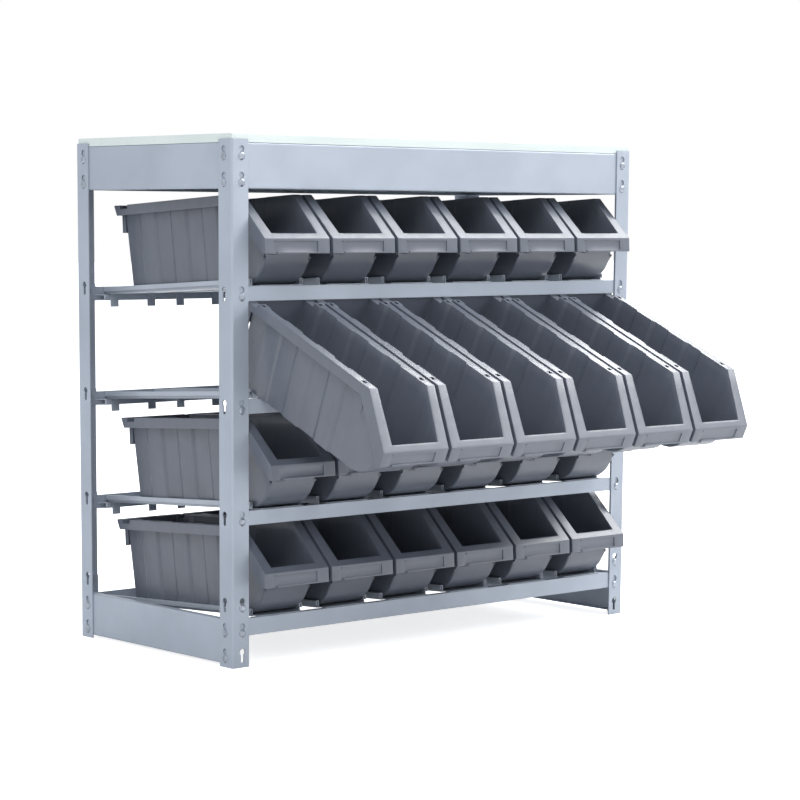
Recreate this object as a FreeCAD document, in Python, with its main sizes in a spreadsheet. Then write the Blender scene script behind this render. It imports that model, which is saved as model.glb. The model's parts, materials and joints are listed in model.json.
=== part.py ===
import FreeCAD, Part
import math
import os
import re
import types

import Sketcher

# A boltless steel rack with a worktop and four shelves of trays, and six open-front bins to a shelf.
# Origin: on the floor, below the middle of the whole with the second shelf's bins tipped out, which
# is ahead of the rack's own middle. X runs along the rack, -Y is the front, +Z is up.
# Every shelf slopes down to the back. The bins of the second shelf stand pulled out and tipped nose
# down, caught under the beam above them; the bins of the other shelves stand home.

os.makedirs("parts", exist_ok=True)
doc = FreeCAD.newDocument("BinRack")

# ---------------------------------------------------------------- driving dimensions (mm, degrees)
DIMENSIONS = [
    # the whole rack, over the posts
    ("rack_length", 841.0),
    ("rack_depth", 391.0),
    ("rack_behind", 148.83),
    ("play", 0.1),
    ("past", 1.0),
    # corner posts: rolled angle with the same keyholes in both flanges
    ("post_height", 776.0),
    ("post_flange", 31.0),
    ("post_sheet", 2.0),
    ("post_bend", 3.5),
    ("hole_inset", 18.6),
    ("hole_lowest", 17.7),
    ("hole_pitch", 38.1),
    ("base_gap", 128.6),
    ("shelf_pitch", 165.1),
    ("hole_radius", 5.0),
    ("slot_radius", 2.9),
    ("hole_half", 10.7),
    # rivets that hang the beams in the keyholes
    ("rivet_drop", 4.3),
    ("shank_radius", 2.7),
    ("bore_radius", 2.8),
    ("head_radius", 5.5),
    ("head_tall", 2.2),
    ("head_edge", 0.7),
    ("head_flat", 3.3),
    ("tail_radius", 4.5),
    ("tail_tall", 1.0),
    # deep beams, round the top and at both sides of the base
    ("beam_sheet", 1.5),
    ("beam_end_gap", 4.1),
    ("deep_tall", 66.7),
    ("deep_above", 19.7),
    ("deep_lip", 12.0),
    ("deep_bend", 2.5),
    ("side_end_gap", 14.3),
    # shelf beams: a web with a hollow step along one edge
    ("web_tall", 21.5),
    ("step_reach", 15.3),
    ("step_tall", 9.4),
    ("step_deep", 9.5),
    ("step_bevel", 14.0),
    ("plate_wide", 27.0),
    ("plate_below", 11.0),
    # base beams, each hung from two keyholes at both ends
    ("base_web", 25.7),
    ("base_front_reach", 21.1),
    ("base_back_reach", 9.5),
    ("base_plate_above", 6.5),
    # worktop board, let in between the tops of the posts
    ("board_thick", 12.6),
    ("board_gap", 0.6),
    ("board_edge", 0.8),
    # trays, one under each bin
    ("tray_half", 45.5),
    ("tray_sheet", 1.0),
    ("tray_tall", 11.0),
    ("hem_wide", 5.0),
    ("hem_drop", 7.0),
    ("tray_start", 3.9),
    ("tray_back_gap", 1.9),
    ("tongue_half", 42.0),
    ("tongue_reach", 8.1),
    ("hook_at", 36.0),
    ("hook_half", 7.5),
    ("hook_drop", 20.0),
    ("hook_gap", 1.0),
    # bins: moulded plastic with a wide rim, a sloped mouth, a front lip and a round nose
    ("bin_pitch", 129.8),
    ("bin_length", 370.0),
    ("bin_width", 123.4),
    ("bin_height", 134.0),
    ("bin_wall", 2.3),
    ("bin_draft", 2.1),
    ("foot_width", 89.4),
    ("foot_corner", 8.0),
    ("foot_back", 15.0),
    ("rim_corner", 10.0),
    ("rim_skirt", 15.5),
    ("mouth_run", 64.0),
    ("mouth_skirt", 20.3),
    ("lip_top", 66.0),
    ("lip_bottom", 44.0),
    ("nose_radius", 56.0),
    ("nose_setback", 22.0),
    ("nose_lean", 17.0),
    ("nose_lean_top", 74.0),
    ("back_slant", 12.0),
    ("back_drop", 14.0),
    ("back_skirt", 92.0),
    ("back_skirt_reach", 25.5),
    ("notch_back", 12.7),
    ("notch_wide", 21.5),
    ("notch_deep", 4.3),
    ("label_half", 39.0),
    ("label_tall", 14.0),
    ("label_deep", 0.8),
    ("rim_hole", 5.0),
    ("rim_hole_back", 38.5),
    ("rim_hole_front", 281.0),
    # where the bins stand: the part of a bin behind the front edge of its tray
    ("home_back", 329.0),
    ("row_three_out", 14.0),
]
ALIASES = {alias for alias, _ in DIMENSIONS}
ROWS = 4
COLUMNS = 6
TIPPED_ROW = 2
# The posts: the side of the rack each stands on along X and Y, and its turn about Z
CORNERS = (
    ("front_left", -1, -1, 0),
    ("front_right", 1, -1, 90),
    ("back_right", 1, 1, 180),
    ("back_left", -1, 1, 270),
)
SMALLEST_CUT = 1e-3

sheet = doc.addObject("Spreadsheet::Sheet", "Dimensions")
for line, (alias, size) in enumerate(DIMENSIONS, start=1):
    sheet.set("A%d" % line, alias)
    sheet.set("B%d" % line, str(size))
    sheet.setAlias("B%d" % line, alias)
doc.recompute()

X_AXIS = FreeCAD.Vector(1, 0, 0)
Z_AXIS = FreeCAD.Vector(0, 0, 1)


# ---------------------------------------------------------------- helpers
def value(expression):
    """The number an expression of the sheet's aliases has."""
    return float(sheet.evalExpression(expression))


def bind(owner, prop, expression):
    """Bind a property to an expression of the sheet's aliases."""
    full = re.sub(r"[a-z][a-z_]+", lambda word: prefixed(word.group()), expression)
    owner.setExpression(prop, full)


def prefixed(word):
    return "Dimensions." + word if word in ALIASES else word


def origin_plane(body, role):
    return next(f for f in body.Origin.OriginFeatures if f.Role == role)


def new_body(name):
    return doc.addObject("PartDesign::Body", name)


def new_sketch(body, name, role, offset=None):
    """A sketch on one of the body's own origin planes, or parallel to it at an offset."""
    sketch = body.newObject("Sketcher::SketchObject", name)
    sketch.AttachmentSupport = [(origin_plane(body, role), "")]
    sketch.MapMode = "FlatFace"
    if offset:
        bind(sketch, "AttachmentOffset.Base.z", offset)
    return sketch


def arc_between(a, b, radius):
    """The short arc from a to b. Its centre is on the left of the way from a to b when radius > 0."""
    middle = (a + b) * 0.5
    chord = b - a
    left = FreeCAD.Vector(-chord.y, chord.x, 0)
    left.normalize()
    rise = math.sqrt(max(radius * radius - chord.Length * chord.Length / 4.0, 0.0))
    centre = middle + left * math.copysign(rise, radius)
    start = math.atan2(a.y - centre.y, a.x - centre.x)
    end = math.atan2(b.y - centre.y, b.x - centre.x)
    circle = Part.Circle(centre, Z_AXIS, abs(radius))
    if radius > 0:
        return Part.ArcOfCircle(circle, start, end), 1, 2
    return Part.ArcOfCircle(circle, end, start), 2, 1


def outline(sketch, corners):
    """A closed outline. A corner is (across, up) or (across, up, radius): a radius makes the side
    that leaves the corner an arc."""
    points = [FreeCAD.Vector(value(c[0]), value(c[1]), 0) for c in corners]
    sides = []
    for index, corner in enumerate(corners):
        a = points[index]
        b = points[(index + 1) % len(points)]
        if len(corner) == 3:
            edge, start, end = arc_between(a, b, value(corner[2]))
        else:
            edge, start, end = Part.LineSegment(a, b), 1, 2
        side = sketch.addGeometry(edge, False)
        sides.append((side, start, end))
        if len(corner) == 3:
            radius = sketch.addConstraint(Sketcher.Constraint("Radius", side, abs(value(corner[2]))))
            bind(sketch, "Constraints[%d]" % radius, "abs(%s)" % corner[2])
    for index, (side, start, _) in enumerate(sides):
        before, _, end = sides[index - 1]
        sketch.addConstraint(Sketcher.Constraint("Coincident", before, end, side, start))
        for kind, measure in (("DistanceX", corners[index][0]), ("DistanceY", corners[index][1])):
            placed = sketch.addConstraint(Sketcher.Constraint(kind, -1, 1, side, start, value(measure)))
            bind(sketch, "Constraints[%d]" % placed, measure)


def rectangle(sketch, left, bottom, right, top):
    outline(sketch, [(left, bottom), (right, bottom), (right, top), (left, top)])


def rounded_rectangle(sketch, left, bottom, right, top, radius):
    outline(
        sketch,
        [
            ("%s + %s" % (left, radius), bottom),
            ("%s - %s" % (right, radius), bottom, radius),
            (right, "%s + %s" % (bottom, radius)),
            (right, "%s - %s" % (top, radius), radius),
            ("%s - %s" % (right, radius), top),
            ("%s + %s" % (left, radius), top, radius),
            (left, "%s - %s" % (top, radius)),
            (left, "%s + %s" % (bottom, radius), radius),
        ],
    )


def round_hole(sketch, across, up, radius):
    spot = FreeCAD.Vector(value(across), value(up), 0)
    side = sketch.addGeometry(Part.Circle(spot, Z_AXIS, value(radius)), False)
    measured = sketch.addConstraint(Sketcher.Constraint("Radius", side, value(radius)))
    bind(sketch, "Constraints[%d]" % measured, radius)
    for kind, measure in (("DistanceX", across), ("DistanceY", up)):
        placed = sketch.addConstraint(Sketcher.Constraint(kind, -1, 1, side, 3, value(measure)))
        bind(sketch, "Constraints[%d]" % placed, measure)


def pad(body, sketch, length, symmetric=False, reverse=False, draft=None):
    feature = body.newObject("PartDesign::Pad", sketch.Name + "Pad")
    feature.Profile = sketch
    bind(feature, "Length", length)
    feature.SideType = "Symmetric" if symmetric else "One side"
    feature.Reversed = reverse
    if draft:
        bind(feature, "TaperAngle", draft)
    return feature


def pocket(body, sketch, length=None, symmetric=False, reverse=False, draft=None):
    """Cut a sketch to a length, or all the way through both ways when there is no length. The cut
    has to take some material away."""
    doc.recompute()
    before = body.Shape.Volume
    feature = body.newObject("PartDesign::Pocket", sketch.Name + "Pocket")
    feature.Profile = sketch
    if length is None:
        feature.Type = "ThroughAll"
        feature.SideType = "Symmetric"
    else:
        bind(feature, "Length", length)
        feature.SideType = "Symmetric" if symmetric else "One side"
    feature.Reversed = reverse
    if draft:
        bind(feature, "TaperAngle", draft)
    doc.recompute()
    if before - body.Shape.Volume < SMALLEST_CUT:
        raise RuntimeError("%s cuts nothing" % feature.Name)
    return feature


def place(item, x, y, z, axis=X_AXIS, angle=0.0):
    """Stand an item in the rack. Y is measured from the rack's own middle."""
    spot = FreeCAD.Vector(x, y + size.rack_behind, z)
    item.Placement = FreeCAD.Placement(spot, FreeCAD.Rotation(axis, angle))
    return item


def again(source, name):
    """One more of a piece that is already drawn."""
    link = doc.addObject("App::Link", name)
    link.setLink(source)
    return link


def group(name, items):
    """Several equal small pieces as one named part."""
    together = doc.addObject("Part::Compound", name)
    together.Links = items
    return together


size = types.SimpleNamespace(**{alias: value(alias) for alias in ALIASES})
parts = []


def keep(item, name):
    item.Label = name
    parts.append(item)
    return item


# ---------------------------------------------------------------- keyhole levels
def hole_levels():
    """Heights of the middles of the keyholes: three at the base, one at each shelf above, two on top."""
    base = ["hole_lowest + %d * hole_pitch" % n for n in range(3)]
    shelves = [base[2] + " + base_gap + %d * shelf_pitch" % n for n in range(3)]
    top = ["%s + base_gap + 3 * shelf_pitch + %d * hole_pitch" % (base[2], n) for n in (0, 1)]
    return base + shelves + top


LEVELS = hole_levels()
EDGE_HALF_X = size.rack_length / 2
EDGE_HALF_Y = size.rack_depth / 2
BEAM_FACE_X = EDGE_HALF_X - size.post_sheet - size.play
BEAM_FACE_Y = EDGE_HALF_Y - size.post_sheet - size.play


# Levels that have a rivet: the shelf beams and both ends' deep beams in front, the deep beams at the side
FACING_RIVETS = range(1, 8)
FLANK_RIVETS = (0, 1, 6, 7)


def rivet_height(level):
    return value(LEVELS[level]) - size.rivet_drop


# ---------------------------------------------------------------- corner posts
def post():
    """Equal angle, corner on the Z axis, one flange along +X and one along +Y."""
    body = new_body("Post")
    section = new_sketch(body, "PostSection", "XY_Plane")
    inner = "(post_bend - post_sheet)"
    outline(
        section,
        [
            ("post_bend", "0"),
            ("post_flange", "0"),
            ("post_flange", "post_sheet"),
            ("post_sheet + %s" % inner, "post_sheet", "-" + inner),
            ("post_sheet", "post_sheet + %s" % inner),
            ("post_sheet", "post_flange"),
            ("0", "post_flange"),
            ("0", "post_bend", "post_bend"),
        ],
    )
    pad(body, section, "post_height")
    doc.recompute()
    for role, side in (("XZ_Plane", "Facing"), ("YZ_Plane", "Flank")):
        holes = new_sketch(body, side + "Keyholes", role)
        for level in LEVELS:
            keyhole(holes, "hole_inset", level)
        pocket(body, holes, "post_sheet + past", reverse=side == "Flank")
    return body


def keyhole(sketch, across, level):
    """Round entry above, narrower slot below."""
    notch = "sqrt(hole_radius ^ 2 - slot_radius ^ 2)"
    centre = "%s + hole_half - hole_radius" % level
    outline(
        sketch,
        [
            ("%s + slot_radius" % across, "%s - %s" % (centre, notch), "hole_radius"),
            (across, "%s + hole_radius" % centre, "hole_radius"),
            ("%s - slot_radius" % across, "%s - %s" % (centre, notch)),
            ("%s - slot_radius" % across, "%s - hole_half + slot_radius" % level, "slot_radius"),
            (across, "%s - hole_half" % level, "slot_radius"),
            ("%s + slot_radius" % across, "%s - hole_half + slot_radius" % level),
        ],
    )


# ---------------------------------------------------------------- beams
# A beam's own frame: X along it, outer face at Y = 0 with the rack's inside at +Y, rivet line at Z = 0.
def deep_beam(name, half_length, hole_across):
    """Channel with its lips turned in. The rivets are one keyhole pitch apart."""
    body = new_body(name)
    section = new_sketch(body, name + "Section", "YZ_Plane")
    low = "(deep_above - deep_tall)"
    inner = "(deep_bend - beam_sheet)"
    outline(
        section,
        [
            ("0", "%s + deep_bend" % low, "deep_bend"),
            ("deep_bend", low),
            ("deep_lip", low),
            ("deep_lip", "%s + beam_sheet" % low),
            ("deep_bend", "%s + beam_sheet" % low, "-" + inner),
            ("beam_sheet", "%s + deep_bend" % low),
            ("beam_sheet", "deep_above - deep_bend", "-" + inner),
            ("deep_bend", "deep_above - beam_sheet"),
            ("deep_lip", "deep_above - beam_sheet"),
            ("deep_lip", "deep_above"),
            ("deep_bend", "deep_above", "deep_bend"),
            ("0", "deep_above - deep_bend"),
        ],
    )
    pad(body, section, "2 * (%s)" % half_length, symmetric=True)
    bores = new_sketch(body, name + "Bores", "XZ_Plane")
    for side in ("", "-"):
        for up in ("0", "-hole_pitch"):
            round_hole(bores, "%s(%s)" % (side, hole_across), up, "bore_radius")
    pocket(body, bores, "beam_sheet + past")
    return body


def shelf_beam(name, reach, web, plate_up, plate_down, rivets):
    """Web from the step's outer edge (reach above the rivet) down, with a hollow step along the top."""
    body = new_body(name)
    ends = "(rack_length / 2 - beam_end_gap)"
    face = new_sketch(body, name + "Web", "XZ_Plane")
    bottom = "(%s - %s)" % (reach, web)
    rectangle(face, "-" + ends, bottom, ends, reach)
    pad(body, face, "beam_sheet", reverse=True)
    step = new_sketch(body, name + "Step", "YZ_Plane")
    under = "(%s - step_tall)" % reach
    rectangle(step, "0", under, "step_deep", reach)
    rectangle(step, "beam_sheet", under + " + beam_sheet", "step_deep - beam_sheet", reach + " - beam_sheet")
    pad(body, step, "rack_length - 2 * post_flange", symmetric=True)
    bevel = new_sketch(body, name + "Bevel", "XY_Plane")
    corner = "(rack_length / 2 - post_flange)"
    for side in ("", "-"):
        outline(
            bevel,
            [
                ("%s%s" % (side, corner), "beam_sheet"),
                ("%s%s" % (side, corner), "step_deep + past"),
                ("%s(%s - step_bevel)" % (side, corner), "step_deep + past"),
                ("%s(%s - step_bevel)" % (side, corner), "step_deep"),
            ],
        )
    pocket(body, bevel)
    if plate_up or plate_down:
        for side, label in (("", "Right"), ("-", "Left")):
            plate = new_sketch(body, name + label + "Plate", "XZ_Plane")
            rectangle(
                plate,
                "%s%s" % (side, ends),
                plate_down or bottom,
                "%s(%s - plate_wide)" % (side, ends),
                plate_up or reach,
            )
            pad(body, plate, "beam_sheet", reverse=True)
    bores = new_sketch(body, name + "Bores", "XZ_Plane")
    for side in ("", "-"):
        for up in rivets:
            round_hole(bores, "%s(rack_length / 2 - hole_inset)" % side, up, "bore_radius")
    pocket(body, bores, "beam_sheet + past")
    return body


# ---------------------------------------------------------------- rivets
def rivet():
    """Axis on Z. The head's underside is at Z = 0, on the outside of the post."""
    body = new_body("Rivet")
    profile = new_sketch(body, "RivetProfile", "XZ_Plane")
    grip = "(post_sheet + beam_sheet + 2 * play)"
    outline(
        profile,
        [
            ("0", "-%s - tail_tall" % grip),
            ("tail_radius", "-%s - tail_tall" % grip),
            ("tail_radius", "-" + grip),
            ("shank_radius", "-" + grip),
            ("shank_radius", "0"),
            ("head_radius", "0"),
            ("head_radius", "head_edge"),
            ("head_flat", "head_tall"),
            ("0", "head_tall"),
        ],
    )
    turn = body.newObject("PartDesign::Revolution", "RivetTurn")
    turn.Profile = profile
    turn.ReferenceAxis = (profile, ["V_Axis"])
    return body


def rivets_of(post_name, side_x, side_y, source):
    """The rivets of one corner: a facing one at every used level, and the deep beams' on the side."""
    items = []
    facing_x = side_x * (EDGE_HALF_X - size.hole_inset)
    for level in FACING_RIVETS:
        one = again(source, "%sFace%d" % (post_name, level))
        place(one, facing_x, side_y * EDGE_HALF_Y, rivet_height(level), X_AXIS, -90 * side_y)
        items.append(one)
    flank_y = side_y * (EDGE_HALF_Y - size.hole_inset)
    for level in FLANK_RIVETS:
        one = again(source, "%sFlank%d" % (post_name, level))
        place(one, side_x * EDGE_HALF_X, flank_y, rivet_height(level), FreeCAD.Vector(0, 1, 0), 90 * side_x)
        items.append(one)
    return group(post_name, items)


# ---------------------------------------------------------------- worktop board
def board():
    body = new_body("Board")
    plan = new_sketch(body, "BoardPlan", "XY_Plane")
    across = "(rack_length / 2 - post_sheet - board_gap)"
    along = "(rack_depth / 2 - post_sheet - board_gap)"
    rectangle(plan, "-" + across, "-" + along, across, along)
    slab = pad(body, plan, "board_thick")
    doc.recompute()
    edges = body.newObject("PartDesign::Chamfer", "BoardEdges")
    edges.Base = (slab, ["Edge%d" % (n + 1) for n, e in enumerate(slab.Shape.Edges) if is_top(e)])
    bind(edges, "Size", "board_edge")
    return body


def is_top(edge):
    """Whether all of an edge of the board is in the board's upper half."""
    return edge.BoundBox.ZMin > size.board_thick / 2


# ---------------------------------------------------------------- trays
# A tray's own frame: Y runs down the tray to the back, from where the floor rests on the front beam.
TRAY_END = "(rack_depth - 2 * post_sheet - 2 * play - beam_sheet - tray_back_gap - step_deep)"
LEDGE_EDGE = "(rack_depth - 2 * post_sheet - 2 * play - 2 * step_deep)"


def tray():
    """Channel with rolled edges, a tongue over the front beam and two hooks behind the back ledge."""
    body = new_body("Tray")
    section = new_sketch(body, "TraySection", "XZ_Plane")
    outer = "(tray_half + hem_wide)"
    half = [
        ("(tray_half + tray_sheet)", "0"),
        ("(tray_half + tray_sheet)", "tray_tall - tray_sheet"),
        ("(%s - tray_sheet)" % outer, "tray_tall - tray_sheet"),
        ("(%s - tray_sheet)" % outer, "tray_tall - hem_drop"),
        (outer, "tray_tall - hem_drop"),
        (outer, "tray_tall"),
        ("tray_half", "tray_tall"),
        ("tray_half", "tray_sheet"),
    ]
    outline(section, half + [("-" + across, up) for across, up in reversed(half)])
    bind(section, "AttachmentOffset.Base.z", "-tray_start")
    pad(body, section, TRAY_END + " - tray_start", reverse=True)
    tongue = new_sketch(body, "TrayTongue", "XY_Plane")
    rectangle(tongue, "-tongue_half", "-tongue_reach", "tongue_half", "tray_start + tray_tall")
    pad(body, tongue, "tray_sheet")
    for side, label in (("", "Right"), ("-", "Left")):
        hook = new_sketch(body, "Tray%sHook" % label, "XY_Plane")
        middle = "%shook_at" % side
        face = "%s - hook_gap" % LEDGE_EDGE
        rectangle(hook, middle + " - hook_half", face + " - tray_sheet", middle + " + hook_half", face)
        pad(body, hook, "hook_drop", reverse=True)
    return body


# ---------------------------------------------------------------- bins
# A bin's own frame: X across, Y = 0 at the back end of its rim with the mouth at -Y, Z = 0 under its foot.
MOUTH_ANGLE = "atan((bin_height - lip_top) / mouth_run)"
BACK_ANGLE = "atan(back_drop / back_slant)"
MOUTH_STEEP = "((bin_height - lip_top) / mouth_run)"
MOUTH_DROP = "(mouth_skirt / cos(%s))" % MOUTH_ANGLE


def side_profile(body, name, corners, half_width):
    """Material between two sides of the bin, from a profile seen from the side."""
    profile = new_sketch(body, name, "YZ_Plane")
    outline(profile, corners)
    pad(body, profile, "2 * (%s)" % half_width, symmetric=True)


def round_plan(body, name, inset):
    """Take away all that lies outside the rounded plan of the rim, inset by a wall."""
    plan = new_sketch(body, name, "XY_Plane")
    half = "(bin_width / 2 - %s)" % inset
    rounded_rectangle(
        plan, "-" + half, "-(bin_length - %s)" % inset, half, "-" + inset, "(rim_corner - %s)" % inset
    )
    far = "(bin_length + past)"
    rectangle(plan, "-" + far, "-" + far, far, "past")
    pocket(body, plan)


def cap_outside():
    """The rim with its skirts, still filled."""
    body = new_body("CapOutside")
    notch_front = "-(notch_back + notch_wide)"
    mouth_top = "-(bin_length - mouth_run)"
    skirt_start = "%s + (%s - rim_skirt) / %s" % (mouth_top, MOUTH_DROP, MOUTH_STEEP)
    lip_back = "%s + (%s - bin_height + lip_bottom) / %s" % (mouth_top, MOUTH_DROP, MOUTH_STEEP)
    corners = [
        ("0", "bin_height"),
        ("-notch_back", "bin_height"),
        ("-notch_back", "bin_height - notch_deep"),
        (notch_front, "bin_height - notch_deep"),
        (notch_front, "bin_height"),
        (mouth_top, "bin_height"),
        ("-bin_length", "lip_top"),
        ("-bin_length", "lip_bottom"),
        (lip_back, "lip_bottom"),
        (skirt_start, "bin_height - rim_skirt"),
        ("-back_skirt_reach", "bin_height - rim_skirt"),
        ("-back_skirt_reach", "back_skirt"),
        ("-back_slant", "back_skirt"),
        ("-back_slant", "bin_height - back_drop"),
    ]
    side_profile(body, "CapSide", corners, "bin_width / 2")
    round_plan(body, "CapPlan", "0")
    return body


def cap_inside():
    """The hollow under the rim."""
    body = new_body("CapInside")
    notch_front = "-(notch_back + notch_wide + bin_wall)"
    notch_floor = "bin_height - notch_deep - bin_wall"
    behind = "(bin_wall / tan(%s / 2))" % BACK_ANGLE
    back_end = "-(%s + notch_deep * back_slant / back_drop)" % behind
    corners = [
        ("-(back_slant + bin_wall)", "0"),
        ("-(back_slant + bin_wall)", "bin_height - back_drop + bin_wall * tan(45 deg - %s / 2)" % BACK_ANGLE),
        (back_end, notch_floor),
        (notch_front, notch_floor),
        (notch_front, "bin_height - bin_wall"),
        ("-(bin_length - mouth_run) + bin_wall * tan(%s / 2)" % MOUTH_ANGLE, "bin_height - bin_wall"),
        ("-(bin_length - bin_wall)", "lip_top - bin_wall * tan(45 deg - %s / 2)" % MOUTH_ANGLE),
        ("-(bin_length - bin_wall)", "0"),
    ]
    side_profile(body, "CapInsideSide", corners, "bin_width / 2 - bin_wall")
    round_plan(body, "CapInsidePlan", "bin_wall")
    return body


def hull(name, inset):
    """Tapering box on the foot, with the nose and the sloped mouth cut. The inset is one wall for the
    hollow of the bin, which runs out through the top, and nothing for its outside."""
    body = new_body(name)
    foot = new_sketch(body, name + "Foot", "XY_Plane", offset=inset)
    half = "(foot_width / 2 - %s)" % inset
    front = "(bin_length - nose_setback + nose_lean)"
    rounded_rectangle(
        foot,
        "-" + half,
        "-(%s - %s)" % (front, inset),
        half,
        "-(foot_back + %s)" % inset,
        "(foot_corner - %s)" % inset,
    )
    hollow = inset != "0"
    tall = "bin_height + past" if hollow else "bin_height"
    pad(body, foot, tall, draft="bin_draft")
    nose = new_sketch(body, name + "Nose", "YZ_Plane")
    nose_y = "-(bin_length - nose_setback - nose_radius)"
    nose_front = "-(bin_length - nose_setback - %s)" % inset
    outline(
        nose,
        [
            (nose_y, inset, "-(nose_radius - %s)" % inset),
            (nose_front, "nose_radius"),
            (nose_front + " - nose_lean", "nose_lean_top"),
            ("-(bin_length + past)", "nose_lean_top"),
            ("-(bin_length + past)", "-past"),
            (nose_y, "-past"),
        ],
    )
    pocket(body, nose)
    if not hollow:
        mouth = new_sketch(body, name + "Mouth", "YZ_Plane")
        mouth_top = "-(bin_length - mouth_run)"
        outline(
            mouth,
            [
                ("%s + past" % mouth_top, "bin_height + past * %s" % MOUTH_STEEP),
                ("-(bin_length + past)", "lip_top - past * %s" % MOUTH_STEEP),
                ("-(bin_length + past)", "bin_height + past * %s" % MOUTH_STEEP),
            ],
        )
        pocket(body, mouth)
    return body


def boolean(kind, name, base, tool):
    result = doc.addObject("Part::" + kind, name)
    result.Base = base
    result.Tool = tool
    return result


def label_cut():
    """Block that cuts the label's recess in the lip."""
    body = new_body("LabelCut")
    label = new_sketch(body, "LabelRecess", "XZ_Plane", offset="bin_length - label_deep")
    low = "((lip_top + lip_bottom - label_tall) / 2)"
    rectangle(label, "-label_half", low, "label_half", low + " + label_tall")
    pad(body, label, "label_deep + past")
    return body


def rim_holes():
    """Blocks that cut the square holes through the flat of the rim, near both ends."""
    body = new_body("RimHoles")
    inner = "(foot_width / 2 + bin_height * tan(bin_draft))"
    across = "((bin_width / 2 - bin_wall + %s) / 2)" % inner
    plan = new_sketch(body, "RimHolePlan", "XY_Plane", offset="bin_height - 2 * bin_wall")
    for side in ("", "-"):
        for along in ("-rim_hole_back", "-rim_hole_front"):
            rectangle(
                plan,
                "%s%s - rim_hole / 2" % (side, across),
                "%s - rim_hole / 2" % along,
                "%s%s + rim_hole / 2" % (side, across),
                "%s + rim_hole / 2" % along,
            )
    pad(body, plan, "3 * bin_wall")
    return body


def notch_cut():
    """Block that clears the notches across the whole bin, so that its walls don't stand up in them."""
    body = new_body("NotchCut")
    side = new_sketch(body, "NotchSide", "YZ_Plane")
    low = "bin_height - notch_deep"
    rectangle(side, "-(notch_back + notch_wide)", low, "-notch_back", "bin_height + past")
    pad(body, side, "bin_width + 2 * past", symmetric=True)
    return body


def open_front_bin():
    outside = boolean("Fuse", "BinFilled", cap_outside_shell(), hull("HullOutside", "0"))
    hollow = boolean("Cut", "BinHollow", outside, hull("HullInside", "bin_wall"))
    labelled = boolean("Cut", "BinLabelled", hollow, label_cut())
    notched = boolean("Cut", "BinNotched", labelled, notch_cut())
    return boolean("Cut", "Bin", notched, rim_holes())


def cap_outside_shell():
    return boolean("Cut", "CapShell", cap_outside(), cap_inside())


# ---------------------------------------------------------------- assembly
def add_posts():
    source = post()
    for name, side_x, side_y, turn in CORNERS:
        item = source if turn == 0 else again(source, "Post" + str(turn))
        place(item, side_x * EDGE_HALF_X, side_y * EDGE_HALF_Y, 0, Z_AXIS, turn)
        keep(item, "post_" + name)


def add_deep_beams():
    """Four round the top, and one at each side of the base."""
    facing = deep_beam("FacingBeam", "rack_length / 2 - beam_end_gap", "rack_length / 2 - hole_inset")
    flank = deep_beam("FlankBeam", "rack_depth / 2 - side_end_gap", "rack_depth / 2 - hole_inset")
    top = rivet_height(7)
    base = rivet_height(1)
    keep(place(facing, 0, -BEAM_FACE_Y, top), "top_beam_front")
    keep(place(again(facing, "TopBack"), 0, BEAM_FACE_Y, top, Z_AXIS, 180), "top_beam_back")
    keep(place(flank, -BEAM_FACE_X, 0, top, Z_AXIS, -90), "top_beam_left")
    keep(place(again(flank, "TopRight"), BEAM_FACE_X, 0, top, Z_AXIS, 90), "top_beam_right")
    keep(place(again(flank, "BaseLeft"), -BEAM_FACE_X, 0, base, Z_AXIS, -90), "base_panel_left")
    keep(place(again(flank, "BaseRight"), BEAM_FACE_X, 0, base, Z_AXIS, 90), "base_panel_right")


def add_shelf_beams():
    """The front beams carry their step on top. The back beams are turned over, which makes a ledge."""
    ordinary = shelf_beam("ShelfBeam", "step_reach", "web_tall", None, "-plate_below", ["0"])
    for row in (1, 2, 3):
        height = rivet_height(6 - row)
        front = ordinary if row == 1 else again(ordinary, "FrontBeam%d" % row)
        keep(place(front, 0, -BEAM_FACE_Y, height), "shelf_beam_front_r%d" % row)
        back = again(ordinary, "BackBeam%d" % row)
        keep(place(back, 0, BEAM_FACE_Y, height, X_AXIS, 180), "shelf_beam_back_r%d" % row)
    above = "hole_pitch + base_plate_above"
    front = shelf_beam("BaseFront", "base_front_reach", "base_web", above, None, ["0", "hole_pitch"])
    keep(place(front, 0, -BEAM_FACE_Y, rivet_height(1)), "shelf_beam_front_r4")
    back = shelf_beam("BaseBack", "base_back_reach", "base_web", None, "-(%s)" % above, ["0", "-hole_pitch"])
    keep(place(back, 0, BEAM_FACE_Y, rivet_height(1), X_AXIS, 180), "shelf_beam_back_r4")


def front_beam_top(row):
    """Height of the top of a shelf's front beam."""
    if row == ROWS:
        return rivet_height(1) + size.base_front_reach
    return rivet_height(6 - row) + size.step_reach


SUPPORT_RUN = value(TRAY_END)
SUPPORT_DROP = 2 * size.step_reach - size.step_tall
SHELF_SLOPE = math.degrees(math.atan2(SUPPORT_DROP, SUPPORT_RUN))
REST_Y = -BEAM_FACE_Y + size.step_deep


def column_x(column):
    return (column - (COLUMNS + 1) / 2) * size.bin_pitch


def add_trays():
    source = tray()
    first = []
    for column in range(1, COLUMNS + 1):
        item = again(source, "Tray%d" % column)
        item.Placement.Base = FreeCAD.Vector(column_x(column), 0, 0)
        first.append(item)
    shelf = group("TrayShelf", first)
    for row in range(1, ROWS + 1):
        item = shelf if row == 1 else again(shelf, "TrayShelf%d" % row)
        height = front_beam_top(row) + size.play
        keep(place(item, 0, REST_Y, height, X_AXIS, -SHELF_SLOPE), "trays_r%d" % row)


def home_spot(row):
    """Where a bin of a row stands on its tray."""
    along = size.home_back - size.tongue_reach - (size.row_three_out if row == 3 else 0)
    above = size.tray_sheet + size.play
    slope = math.radians(SHELF_SLOPE)
    y = REST_Y + along * math.cos(slope) + above * math.sin(slope)
    z = front_beam_top(row) + size.play - along * math.sin(slope) + above * math.cos(slope)
    return y, z, -SHELF_SLOPE


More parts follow.
